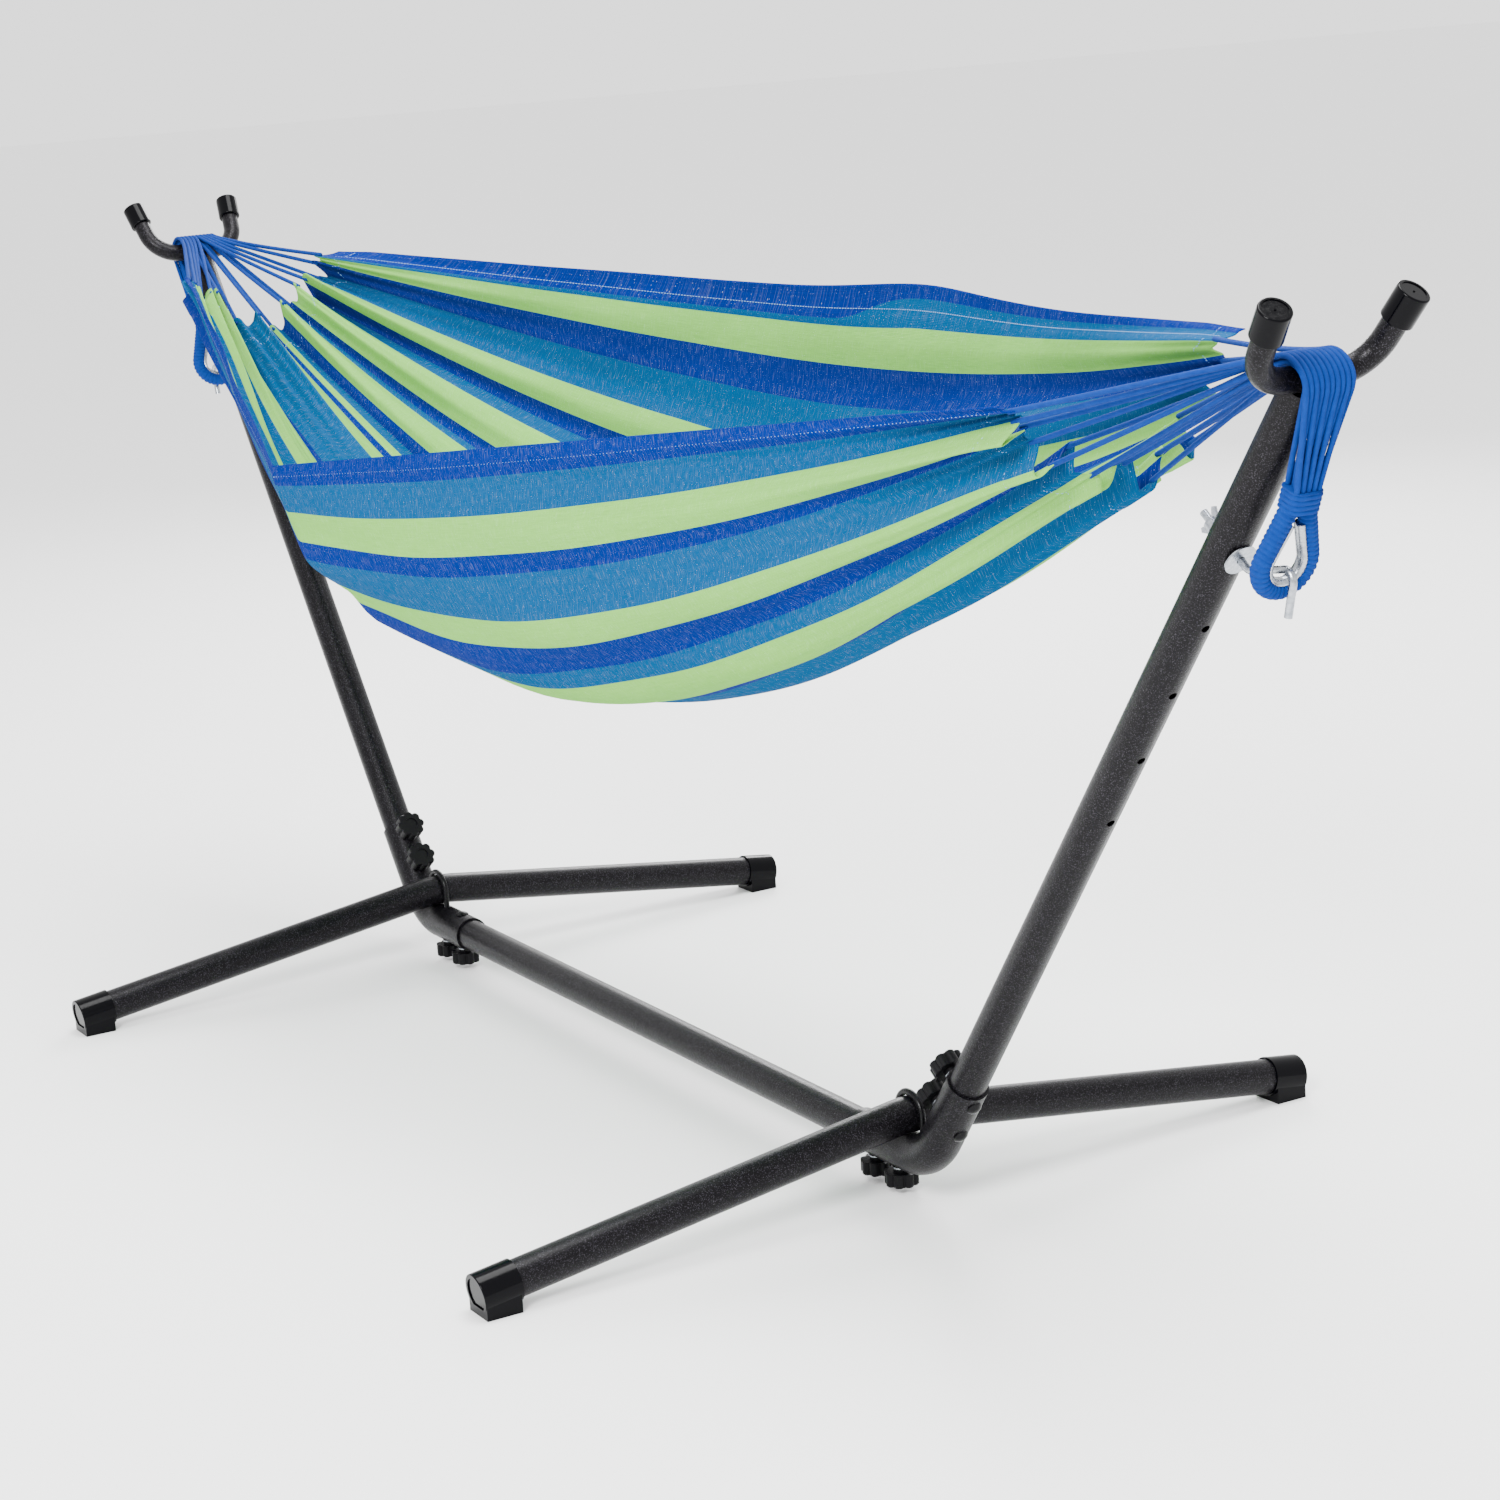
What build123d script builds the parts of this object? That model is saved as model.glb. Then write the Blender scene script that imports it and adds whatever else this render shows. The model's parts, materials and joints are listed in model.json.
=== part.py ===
"""Hammock on a steel stand: every piece as its own solid, in millimetres.

+X runs along the hammock towards end a, +Y across it, +Z up.  The origin is on the floor under the
middle of the stand.  The pieces of end b are those of end a mirrored in the YZ plane.
"""
from build123d import *
from math import acos, asin, atan2, cos, degrees, floor, hypot, pi, radians, sin, sqrt, tan
import os

os.makedirs("parts", exist_ok=True)

# ---- driving dimensions: stand tubes -------------------------------------------------------------
tube_d = 42.0
tube_wall = 1.5
sleeve_wall = 2.7
sleeve_gap = 0.3            # radial play of a tube inside an elbow sleeve
foot_x = 622.0              # foot bars from the middle of the stand
foot_span = 1104.0          # foot bar with its caps
foot_rise = 99.0            # height of a foot bar's axis at the middle
foot_bend_r = 150.0
foot_seat_gap = 0.3         # foot bar to elbow sleeve
knee_x = 660.0              # where the centre bar's axis meets an upright's axis
lean = 36.5                 # uprights, degrees from vertical
elbow_bend_r = 80.0
elbow_leg = 141.0           # each straight sleeve end, from the knee point
insert_start = 45.0         # nearest point of an inserted tube to the knee point

# ---- foot caps -----------------------------------------------------------------------------------
foot_cap_wall = 2.5
foot_cap_len = 46.0
foot_cap_end = 4.0
foot_cap_recess = 1.5
foot_pad_half = 21.5
foot_cap_gap = 0.1

# ---- bolts and star knobs ------------------------------------------------------------------------
bolt_d = 8.0
bolt_hole_gap = 0.3
bolt_head_r = 9.0
bolt_head_h = 4.5
upright_bolts = (76.0, 126.0)   # along the upright from the knee point
bar_bolt_x = 546.0
seat_gap = 0.2                  # flat pieces to the round sleeve
washer_r = 9.5
washer_t = 1.5
stack_gap = 0.1                 # between washer and knob
knob_d = 40.0
knob_lobes = 8
knob_lobe_r = 6.2
knob_t = 16.0
knob_hub_r = 9.0
knob_hub_h = 4.0
knob_roof = 3.0
knob_dimple_r = 9.0
knob_dimple = 1.5
turn_gap = 0.05                 # radial play of a knob or wing nut on its thread
bar_hook_gap = 0.3              # clamp hook round the foot bar
bar_hook_stub = 13.0            # short leg inside the elbow sleeve's top wall

# ---- forks ---------------------------------------------------------------------------------------
fork_d = 25.0
fork_wall = 2.0
fork_s = 1163.0             # axis of the fork's saddle, along the upright from the knee point
fork_bend_half = 66.0
fork_tip_half = 78.0
fork_tip_h = 87.0
fork_bend_r = 45.0
fork_weld_gap = 0.1
upright_short = 10.0        # upright's end below the fork's axis
fork_cap_wall = 3.6
fork_cap_len = 34.0
fork_cap_end = 3.0
fork_cap_dish = 1.0
fork_cap_gap = 0.1

# ---- hanger hook, its nut and washer -------------------------------------------------------------
hook_s = 957.5              # top adjustment hole, along the upright from the knee point
hole_pitch = 92.0
hole_count = 5
hook_hole_gap = 0.5
hook_rod_d = 8.0
hook_thread = 23.0          # rod showing inboard of the upright
hook_shoulder = 16.0        # first bend, outboard of the upright
hook_reach = (1326.0, 812.0)
hook_tail = (1314.0, 765.0)
hook_bend_1 = 14.0
hook_bend_2 = 11.0
big_washer_r = 17.0
big_washer_t = 1.6
wing_hub_r = 8.0
wing_hub_h = 9.0
wing_t = 3.0
wing_outline = ((4.0, 0.0), (12.2, 3.0), (17.0, 9.8), (13.9, 13.0), (10.2, 11.0), (4.0, 5.2))

# ---- rope eye, thimble and whipping --------------------------------------------------------------
eye_along = 0.74            # where the eye hangs between the hook's two bends
thimble_r = 15.5            # inside
thimble_t = 2.5
thimble_w = 14.0
thimble_tip = 40.0
thimble_tip_r = 3.5
hook_touch_gap = 0.3        # thimble's edge to the hook's rod
eye_rope_d = 19.0
eye_rope_gap = 0.2
whip_low = 65.0             # along the bundle, from the hook's rod
whip_high = 84.0
whip_side = 1.05            # whipping round the cords, at its narrow ends
whip_cover = 3.0            # and on its broad faces

# ---- clew cords ----------------------------------------------------------------------------------
cord_d = 6.0
layer_cords = (8, 10)       # cords over each saddle: those against the fork, those on top
whip_gap = 1.0
cord_side_gap = 0.2         # between cords side by side
cord_layer_gap = 0.9        # between layers of cords
saddle_gap = 0.8
rim_clear = 1.6             # where the cords pass the upright's rim
split_in = 18.0             # swinging part ends this far inboard of the saddle's axis
split_gap = 2.5
leave_slope = 11.0          # degrees below level where the cords leave the saddle
fan_gap = 1.5               # cord end to the cloth
bend_share = 0.45           # of the shorter run beside a cord's bend that its arc takes

# ---- hammock cloth: hem, keel and hem again, as (x, y, z) ----------------------------------------
cloth_t = 4.0
cloth_end_a = 990.0
cloth_end_b = -1010.0
near_hem_a = (1000.0, -72.0, 945.0)
near_hem_fold = (-280.0, -335.0, 793.0)
near_hem_b = (-1000.0, -143.0, 969.0)
keel_a = (960.0, 90.0, 842.0)
keel_mid = (0.0, 0.0, 486.0)
keel_b = (-960.0, -60.0, 872.0)
far_hem_a = (1000.0, 195.0, 988.0)
far_hem_mid = (100.0, 345.0, 958.0)
far_hem_b = (-1000.0, 75.0, 994.0)
keel_power = 1.75
far_power = 1.6
wall_droop = 0.45           # how far a wall hangs straight down, as a share of its distance to the keel
keel_reach = 0.31           # how flat the bottom is, as a share of the width between the hems
keel_tilt = 0.6             # how much of the hems' difference in height the bottom takes
section_steps = 6
stations = (-840.0, -620.0, -450.0, -280.0, -90.0, 150.0, 400.0, 640.0, 830.0)   # between its ends

# ---- what follows from them ----------------------------------------------------------------------
tube_r = tube_d / 2
hook_inside = tube_r + hook_thread
hook_outside = tube_r + hook_shoulder
saddle_pitch = cord_d + cord_side_gap
saddle_layer = cord_d + cord_layer_gap
rim_gap = tube_r + rim_clear - (fork_d / 2 + saddle_gap + cord_d / 2)
whip_pitch = saddle_pitch / 2       # two staggered rows of cords a layer
whip_stagger = cord_d
whip_layer = 2 * cord_d
whip_width = (layer_cords[1] - 1) * whip_pitch + cord_d + 2 * whip_side
whip_depth = whip_layer + whip_stagger + cord_d + 2 * whip_cover
sleeve_in_r = tube_r + sleeve_gap
sleeve_r = sleeve_in_r + sleeve_wall
bolt_r = bolt_d / 2
bolt_hole_r = bolt_r + bolt_hole_gap
bar_z = foot_rise - tube_r - sleeve_r - foot_seat_gap
foot_end_z = tube_r + foot_cap_wall
knee = Vector(knee_x, 0, bar_z)
up = Vector(sin(radians(lean)), 0, cos(radians(lean)))      # along upright a
out = Vector(cos(radians(lean)), 0, -sin(radians(lean)))    # across it, away from the hammock
saddle = knee + up * fork_s


def upright_plane(s):
    """A plane across upright a at a distance from the knee point."""
    return Plane(origin=knee + up * s, x_dir=out, z_dir=up)


def bolt_plane(s):
    """A plane on upright a's axis, facing inboard along a bolt at distance s."""
    return Plane(origin=knee + up * s, x_dir=up, z_dir=-out)


def save(piece, node):
    """Label one piece and write its STEP file."""
    piece.label = node
    export_step(piece, f"parts/{node}.step")


def save_pair(piece, stem, tail=""):
    """Write a piece of end a and its mirror image at end b."""
    save(piece, f"{stem}_a{tail}")
    save(mirror(piece, about=Plane.YZ), f"{stem}_b{tail}")


# ---- centre bar, uprights and elbow sleeves ------------------------------------------------------
bar_half = knee_x - insert_start
leg_x = tube_r + bar_hook_gap + bolt_r                      # clamp hook's legs from the foot bar

with BuildPart() as centre_bar:
    with BuildSketch(Plane.YZ.offset(-bar_half)):
        with Locations((0, bar_z)):
            Circle(tube_r)
            Circle(tube_r - tube_wall, mode=Mode.SUBTRACT)
    extrude(amount=2 * bar_half)
    for x in (bar_bolt_x, foot_x - leg_x):
        for side in (-1, 1):
            with BuildSketch(Plane.XY.offset(bar_z - tube_d)):
                with Locations((side * x, 0)):
                    Circle(bolt_hole_r)
            extrude(amount=2 * tube_d, mode=Mode.SUBTRACT)
save(centre_bar.part, "centre_bar")

with BuildPart() as elbow:
    with BuildLine() as elbow_line:
        FilletPolyline(
            knee - Vector(elbow_leg, 0, 0), knee, knee + up * elbow_leg, radius=elbow_bend_r
        )
    with BuildSketch(Plane.YZ.offset(knee_x - elbow_leg)):
        with Locations((0, bar_z)):
            Circle(sleeve_r)
            Circle(sleeve_in_r, mode=Mode.SUBTRACT)
    sweep(path=elbow_line.wires()[0])
    for x in (bar_bolt_x, foot_x - leg_x):
        with BuildSketch(Plane.XY.offset(bar_z - tube_d)):
            with Locations((x, 0)):
                Circle(bolt_hole_r)
        extrude(amount=2 * tube_d, mode=Mode.SUBTRACT)
    with BuildSketch(Plane.XY.offset(bar_z)):
        with Locations((foot_x + leg_x, 0)):
            Circle(bolt_hole_r)
    extrude(amount=2 * tube_d, mode=Mode.SUBTRACT)
    for s in upright_bolts:
        with BuildSketch(bolt_plane(s)):
            Circle(bolt_hole_r)
        extrude(amount=tube_d, both=True, mode=Mode.SUBTRACT)
save_pair(elbow.part, "elbow_sleeve")

with BuildPart() as upright:
    with BuildSketch(upright_plane(insert_start)):
        Circle(tube_r)
        Circle(tube_r - tube_wall, mode=Mode.SUBTRACT)
    extrude(amount=fork_s - upright_short - insert_start)
    hook_holes = [hook_s - i * hole_pitch for i in range(hole_count)]
    for s in upright_bolts:
        with BuildSketch(bolt_plane(s)):
            Circle(bolt_hole_r)
        extrude(amount=tube_d, both=True, mode=Mode.SUBTRACT)
    for s in hook_holes:
        with BuildSketch(bolt_plane(s)):
            Circle(hook_rod_d / 2 + hook_hole_gap)
        extrude(amount=tube_d, both=True, mode=Mode.SUBTRACT)
    with BuildSketch(Plane(origin=saddle, x_dir=up, z_dir=(0, 1, 0))):
        Circle(fork_d / 2 + fork_weld_gap)
    extrude(amount=tube_d, both=True, mode=Mode.SUBTRACT)
save_pair(upright.part, "upright")

# ---- forks and their caps ------------------------------------------------------------------------
fork_plane = Plane(origin=saddle, x_dir=(0, 1, 0), z_dir=out)
fork_points = (
    (-fork_tip_half, fork_tip_h),
    (-fork_bend_half, 0),
    (fork_bend_half, 0),
    (fork_tip_half, fork_tip_h),
)
arm_lean = degrees(atan2(fork_tip_half - fork_bend_half, fork_tip_h))


def fork_tip(side):
    """A plane across a fork arm at its open end; side is -1 in front, 1 behind."""
    tip = fork_plane.from_local_coords(Vector(side * fork_tip_half, fork_tip_h, 0))
    arm = fork_plane.from_local_coords(Vector(side * sin(radians(arm_lean)), cos(radians(arm_lean)), 0))
    return Plane(origin=tip, x_dir=out, z_dir=arm - fork_plane.origin)


with BuildPart() as fork:
    with BuildLine(fork_plane) as fork_line:
        FilletPolyline(*fork_points, radius=fork_bend_r)
    with BuildSketch(fork_tip(-1)):
        Circle(fork_d / 2)
        Circle(fork_d / 2 - fork_wall, mode=Mode.SUBTRACT)
    sweep(path=fork_line.wires()[0])
save_pair(fork.part, "fork")

fork_cap_r = fork_d / 2 + fork_cap_gap + fork_cap_wall
for side, word in ((-1, "front"), (1, "rear")):
    with BuildPart() as fork_cap:
        with BuildSketch(fork_tip(side).offset(fork_cap_gap + fork_cap_end)):
            Circle(fork_cap_r)
        extrude(amount=-fork_cap_len)
        fillet(fork_cap.edges().filter_by(GeomType.CIRCLE), radius=fork_cap_wall / 2)
        with BuildSketch(fork_tip(side).offset(fork_cap_gap)):
            Circle(fork_d / 2 + fork_cap_gap)
        extrude(amount=-fork_cap_len, mode=Mode.SUBTRACT)
        with BuildSketch(fork_tip(side).offset(fork_cap_gap + fork_cap_end)):
            Circle(fork_cap_r - fork_cap_wall)
            Circle(fork_cap_dish, mode=Mode.SUBTRACT)
        extrude(amount=-fork_cap_dish, mode=Mode.SUBTRACT)
    save_pair(fork_cap.part, "fork_cap", f"_{word}")

# ---- foot bars and their caps --------------------------------------------------------------------
foot_slope = atan2(foot_rise - foot_end_z, foot_span / 2)
foot_apex_z = foot_rise + foot_bend_r * (1 / cos(foot_slope) - 1)
foot_slope = atan2(foot_apex_z - foot_end_z, foot_span / 2)
bar_end_y = foot_span / 2 - foot_cap_end
bar_end_z = foot_end_z + foot_cap_end * tan(foot_slope)


def foot_end(side):
    """A plane across a foot bar's end, facing outwards; side is -1 in front, 1 behind."""
    return Plane(
        origin=(foot_x, side * bar_end_y, bar_end_z),
        x_dir=(1, 0, 0),
        z_dir=(0, side * cos(foot_slope), -sin(foot_slope)),
    )


with BuildPart() as foot_bar:
    with BuildLine() as foot_line:
        FilletPolyline(
            (foot_x, -bar_end_y, bar_end_z),
            (foot_x, 0, foot_apex_z),
            (foot_x, bar_end_y, bar_end_z),
            radius=foot_bend_r,
        )
    with BuildSketch(foot_end(-1)):
        Circle(tube_r)
        Circle(tube_r - tube_wall, mode=Mode.SUBTRACT)
    sweep(path=foot_line.wires()[0])
save_pair(foot_bar.part, "foot_bar")

for side, word in ((-1, "front"), (1, "rear")):
    with BuildPart() as foot_cap:
        with BuildSketch(foot_end(side).offset(foot_cap_end)):
            Circle(tube_r + foot_cap_wall)
        extrude(amount=-foot_cap_len)
        cap_round = foot_cap.edges().filter_by(GeomType.CIRCLE).sort_by(Axis.Y)[0 if side < 0 else -1]
        fillet(cap_round, radius=foot_cap_wall / 2)
        with BuildSketch(Plane.XY):
            with Locations((foot_x, side * (foot_span - foot_cap_len) / 2)):
                Rectangle(2 * foot_pad_half, foot_cap_len - foot_cap_end)
        extrude(amount=foot_end_z)
        split(bisect_by=Plane.XY, keep=Keep.TOP)
        with BuildSketch(foot_end(side)):
            Circle(tube_r + foot_cap_gap)
        extrude(amount=-2 * foot_cap_len, mode=Mode.SUBTRACT)
        with BuildSketch(foot_end(side).offset(foot_cap_end)):
            Circle(tube_r - foot_cap_wall)
        extrude(amount=-foot_cap_recess, mode=Mode.SUBTRACT)
    save_pair(foot_cap.part, "foot_cap", f"_{word}")

# ---- bolts, clamp hooks, washers and star knobs --------------------------------------------------
stack_start = sleeve_r + seat_gap
knob_start = stack_start + washer_t + stack_gap
thread_end = knob_start + knob_hub_h + knob_t - knob_roof - stack_gap
under_bar = Plane(origin=(bar_bolt_x, 0, bar_z), x_dir=(1, 0, 0), z_dir=(0, 0, -1))
under_foot = Plane(origin=(foot_x - leg_x, 0, bar_z), x_dir=(1, 0, 0), z_dir=(0, 0, -1))

dome_r = (bolt_head_r**2 + bolt_head_h**2) / (2 * bolt_head_h)
dome_x = bolt_head_r / 2
dome_top = stack_start + bolt_head_h
dome_z = dome_top - dome_r + sqrt(dome_r**2 - dome_x**2)

bolt_groups = (
    ("upright_bolts", [bolt_plane(s) for s in upright_bolts]),
    ("centre_bar_bolt", [under_bar]),
)

for stem, planes in bolt_groups:
    with BuildPart() as dome_bolt:
        for plane in planes:
            with BuildSketch(plane.offset(-stack_start)):
                Circle(bolt_r)
            extrude(amount=stack_start + thread_end)
            with BuildSketch(Plane(origin=plane.origin, x_dir=plane.x_dir, z_dir=plane.y_dir)):
                with BuildLine():
                    Polyline((bolt_head_r, stack_start), (0, stack_start), (0, dome_top))
                    ThreePointArc((0, dome_top), (dome_x, dome_z), (bolt_head_r, stack_start))
                make_face()
            revolve(axis=Axis(plane.origin, plane.z_dir))
    save_pair(dome_bolt.part, stem)

with BuildPart() as clamp_hook:
    with BuildLine() as clamp_line:
        Line((foot_x - leg_x, 0, bar_z - thread_end), (foot_x - leg_x, 0, foot_rise))
        ThreePointArc(
            (foot_x - leg_x, 0, foot_rise),
            (foot_x, 0, foot_rise + leg_x),
            (foot_x + leg_x, 0, foot_rise),
        )
        Line((foot_x + leg_x, 0, foot_rise), (foot_x + leg_x, 0, bar_z + sleeve_r - bar_hook_stub + bolt_r))
    with BuildSketch(Plane.XY.offset(bar_z - thread_end)):
        with Locations((foot_x - leg_x, 0)):
            Circle(bolt_r)
    sweep(path=clamp_line.wires()[0])
save_pair(clamp_hook.part, "clamp_hook")

knob_seats = (
    ("upright_low", bolt_plane(upright_bolts[0])),
    ("upright_high", bolt_plane(upright_bolts[1])),
    ("centre_bar", under_bar),
    ("foot_bar", under_foot),
)

with BuildPart() as knob_washers:
    for word, seat in knob_seats:
        with BuildSketch(seat.offset(stack_start)):
            Circle(washer_r)
            Circle(bolt_hole_r, mode=Mode.SUBTRACT)
        extrude(amount=washer_t)
save_pair(knob_washers.part, "knob_washers")

for word, seat in knob_seats:
    with BuildPart() as star_knob:
        with BuildSketch(seat.offset(knob_start)):
            Circle(knob_hub_r)
        extrude(amount=knob_hub_h)
        with BuildSketch(seat.offset(knob_start + knob_hub_h)):
            Circle(knob_d / 2 - knob_lobe_r / 2)
            with PolarLocations(knob_d / 2 - knob_lobe_r, knob_lobes):
                Circle(knob_lobe_r)
        extrude(amount=knob_t)
        knob_top = star_knob.faces().filter_by(GeomType.PLANE).sort_by(Axis(seat.origin, seat.z_dir))[-1]
        chamfer(knob_top.edges(), length=knob_dimple)
        with BuildSketch(seat.offset(knob_start + knob_hub_h + knob_t)):
            Circle(knob_dimple_r)
        extrude(amount=-knob_dimple, mode=Mode.SUBTRACT)
        with BuildSketch(seat.offset(knob_start)):
            Circle(bolt_r + turn_gap)
        extrude(amount=knob_hub_h + knob_t - knob_roof, mode=Mode.SUBTRACT)
    save_pair(star_knob.part, "knob", f"_{word}")

# ---- hanger hook, wing nut and big washer --------------------------------------------------------
hook_seat = bolt_plane(hook_s)
hook_bend = hook_seat.origin + out * hook_outside
reach = Vector(hook_reach[0], 0, hook_reach[1])
tail = Vector(hook_tail[0], 0, hook_tail[1])

with BuildPart() as hanger_hook:
    with BuildLine() as hook_line:
        FilletPolyline(
            hook_seat.origin - out * hook_inside, hook_bend, reach, tail, radius=[hook_bend_1, hook_bend_2]
        )
    with BuildSketch(hook_seat.offset(hook_inside)):
        Circle(hook_rod_d / 2)
    sweep(path=hook_line.wires()[0])
save_pair(hanger_hook.part, "hanger_hook")

with BuildPart() as big_washer:
    with BuildSketch(hook_seat.offset(-tube_r - seat_gap)):
        Circle(big_washer_r)
        Circle(hook_rod_d / 2 + hook_hole_gap, mode=Mode.SUBTRACT)
    extrude(amount=-big_washer_t)
save_pair(big_washer.part, "hook_washer")

with BuildPart() as wing_nut:
    with BuildSketch(hook_seat.offset(tube_r + seat_gap)):
        Circle(wing_hub_r)
    extrude(amount=wing_hub_h)
    wing_side = Plane(origin=hook_seat.origin, x_dir=hook_seat.x_dir, z_dir=-hook_seat.y_dir)
    wing_foot = tube_r + seat_gap + wing_t
    with BuildSketch(wing_side):
        for side in (-1, 1):
            with BuildLine():
                Polyline(*[(side * x, wing_foot + rise) for x, rise in wing_outline], close=True)
            make_face()
    extrude(amount=wing_t / 2, both=True)
    with BuildSketch(hook_seat):
        Circle(hook_rod_d / 2 + turn_gap)
    extrude(amount=2 * tube_d, mode=Mode.SUBTRACT)
save_pair(wing_nut.part, "wing_nut")

# ---- thimble, wrapped eye and whipping -----------------------------------------------------------
# The bundle runs straight from the hook's rod to the outboard side of the fork's saddle.
cord_r = cord_d / 2
cord_count = sum(layer_cords)
layer_r = [fork_d / 2 + saddle_gap + cord_r + layer * saddle_layer for layer in range(2)]
bundle_r = sum(layer_r) / 2 + rim_gap
hang = hook_bend + (reach - hook_bend) * eye_along
to_saddle = saddle - hang
bundle_tilt = atan2(to_saddle.X, to_saddle.Z) + asin(bundle_r / to_saddle.length)
along = Vector(sin(bundle_tilt), 0, cos(bundle_tilt))
across = Vector(cos(bundle_tilt), 0, -sin(bundle_tilt))
rod_tilt = acos((reach - hook_bend).normalized().dot(across))
rod_room = hook_rod_d / 2 / cos(rod_tilt) + thimble_w / 2 * tan(rod_tilt)
eye_centre = thimble_r - rod_room - hook_touch_gap
eye_plane = Plane(origin=hang + along * eye_centre, x_dir=(0, 1, 0), z_dir=across)

with BuildPart() as thimble:
    with BuildSketch(eye_plane):
        Circle(thimble_r + thimble_t)
        with Locations((0, thimble_tip)):
            Circle(thimble_tip_r)
        make_hull()
    extrude(amount=thimble_w / 2, both=True)
    with BuildSketch(eye_plane):
        Circle(thimble_r)
        with Locations((0, thimble_tip)):
            Circle(thimble_tip_r - thimble_t)
        make_hull()
    extrude(amount=thimble_w, both=True, mode=Mode.SUBTRACT)
save_pair(thimble.part, "thimble")

eye_rope_r = eye_rope_d / 2
eye_loop_r = thimble_r + thimble_t + eye_rope_gap + eye_rope_r
leg_top = (eye_rope_r + eye_rope_gap, whip_low - eye_centre)
leg_dist = hypot(*leg_top)
touch = atan2(leg_top[1], leg_top[0]) - acos(eye_loop_r / leg_dist)
touch_y = eye_loop_r * cos(touch)
touch_z = eye_loop_r * sin(touch)

with BuildPart() as wrapped_eye:
    with BuildLine(eye_plane) as eye_line:
        Line((-leg_top[0], leg_top[1]), (-touch_y, touch_z))
        ThreePointArc((-touch_y, touch_z), (0, -eye_loop_r), (touch_y, touch_z))
        Line((touch_y, touch_z), leg_top)
    leg_start = eye_line.wires()[0] @ 0
    leg_way = eye_line.wires()[0] % 0
    with BuildSketch(Plane(origin=leg_start, z_dir=leg_way)):
        Circle(eye_rope_r)
    sweep(path=eye_line.wires()[0])
    whip_plane = Plane(origin=hang + along * whip_low, x_dir=(0, 1, 0), z_dir=along)
    split(bisect_by=whip_plane, keep=Keep.BOTTOM)
save_pair(wrapped_eye.part, "wrapped_eye")

with BuildPart() as whipping:
    with BuildSketch(whip_plane.offset(eye_rope_gap)):
        RectangleRounded(whip_width, whip_depth, whip_depth / 2 - eye_rope_gap)
    extrude(amount=whip_high - whip_low)
save_pair(whipping.part, "whipping")

# ---- hammock cloth -------------------------------------------------------------------------------


def fold_point(x, end_a, fold, end_b):
    """A point at x on a line that runs straight from each end to its fold."""
    end = end_a if x > fold[0] else end_b
    share = (x - fold[0]) / (end[0] - fold[0])
    return tuple(f + (e - f) * share for f, e in zip(fold, end))


def sag_point(x, end_a, low, end_b, power):
    """A point at x on a line that sags from both ends to its lowest point."""
    end = end_a if x > low[0] else end_b
    share = abs((x - low[0]) / (end[0] - low[0])) ** power
    return tuple(m + (e - m) * share for m, e in zip(low, end))


def cloth_point(x, v):
    """The cloth's outer side at x, as (y, z); v runs from 0 at the near hem to 1 at the far hem."""
    near = fold_point(x, near_hem_a, near_hem_fold, near_hem_b)[1:]
    keel = sag_point(x, keel_a, keel_mid, keel_b, keel_power)[1:]
    far = sag_point(x, far_hem_a, far_hem_mid, far_hem_b, far_power)[1:]
    run = tuple((f - n) * keel_reach for n, f in zip(near, far))
    if v <= 0.5:
        drop = wall_droop * abs(near[1] - keel[1])
        ends = (near, (near[0], near[1] - drop), (keel[0] - run[0], keel[1] - run[1] * keel_tilt), keel)
        t = 2 * v
    else:
        drop = wall_droop * abs(far[1] - keel[1])
        ends = (keel, (keel[0] + run[0], keel[1] + run[1] * keel_tilt), (far[0], far[1] - drop), far)
        t = 2 * v - 1
    weights = ((1 - t) ** 3, 3 * t * (1 - t) ** 2, 3 * t * t * (1 - t), t ** 3)
    return tuple(sum(w * p[i] for w, p in zip(weights, ends)) for i in range(2))


def cloth_inside(x, v):
    """The cloth's inner side at x, one thickness in from its outer side."""
    step = 0.01
    low = cloth_point(x, max(v - step, 0))
    high = cloth_point(x, min(v + step, 1))
    length = hypot(high[0] - low[0], high[1] - low[1])
    y, z = cloth_point(x, v)
    return (y - cloth_t * (high[1] - low[1]) / length, z + cloth_t * (high[0] - low[0]) / length)


with BuildPart() as hammock_bed:
    for x in (cloth_end_b, *stations, cloth_end_a):
        shares = [i / section_steps for i in range(section_steps + 1)]
        outside = [cloth_point(x, v) for v in shares]
        inside = [cloth_inside(x, v) for v in reversed(shares)]
        with BuildSketch(Plane.YZ.offset(x)):
            with BuildLine():
                Spline(*outside)
                Line(outside[-1], inside[0])
                Spline(*inside)
                Line(inside[-1], outside[0])
            make_face()
    loft(ruled=True)
save(hammock_bed.part, "hammock_bed")

# ---- clew cords ----------------------------------------------------------------------------------
leave = Vector(-cos(radians(leave_slope)), 0, -sin(radians(leave_slope)))


def saddle_corners(layer):
    """The two corners of a cord's route over the fork, in the XZ plane."""
    half = acos(along.dot(leave)) / 4
    reach_out = layer_r[layer] / cos(half)
    first = atan2(across.Z, across.X) + half
    corners = [
        saddle + Vector(reach_out * cos(first + 2 * i * half), 0, reach_out * sin(first + 2 * i * half))
        for i in range(2)
    ]
    return [corners[0] + across * rim_gap, corners[1]]


def corner_radius(before, corner, after):
    """The tangent arc that takes its share of the shorter run."""
    run = min((corner - before).length, (after - corner).length)
    turn = radians((corner - before).get_angle(after - corner))
    return bend_share * run / tan(turn / 2)


def cord_place(index):
    """Layer of one cord and its place from the middle; cords are counted from the near hem.

    Those that go to the two hems lie on top, so that no cord crosses another.
    """
    top_half = layer_cords[1] // 2
    if index < top_half:
        return (1, index + 0.5 - top_half)
    if index >= top_half + layer_cords[0]:
        return (1, index + 0.5 - top_half - layer_cords[0])
    return (0, index + 0.5 - top_half - layer_cords[0] / 2)


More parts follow.
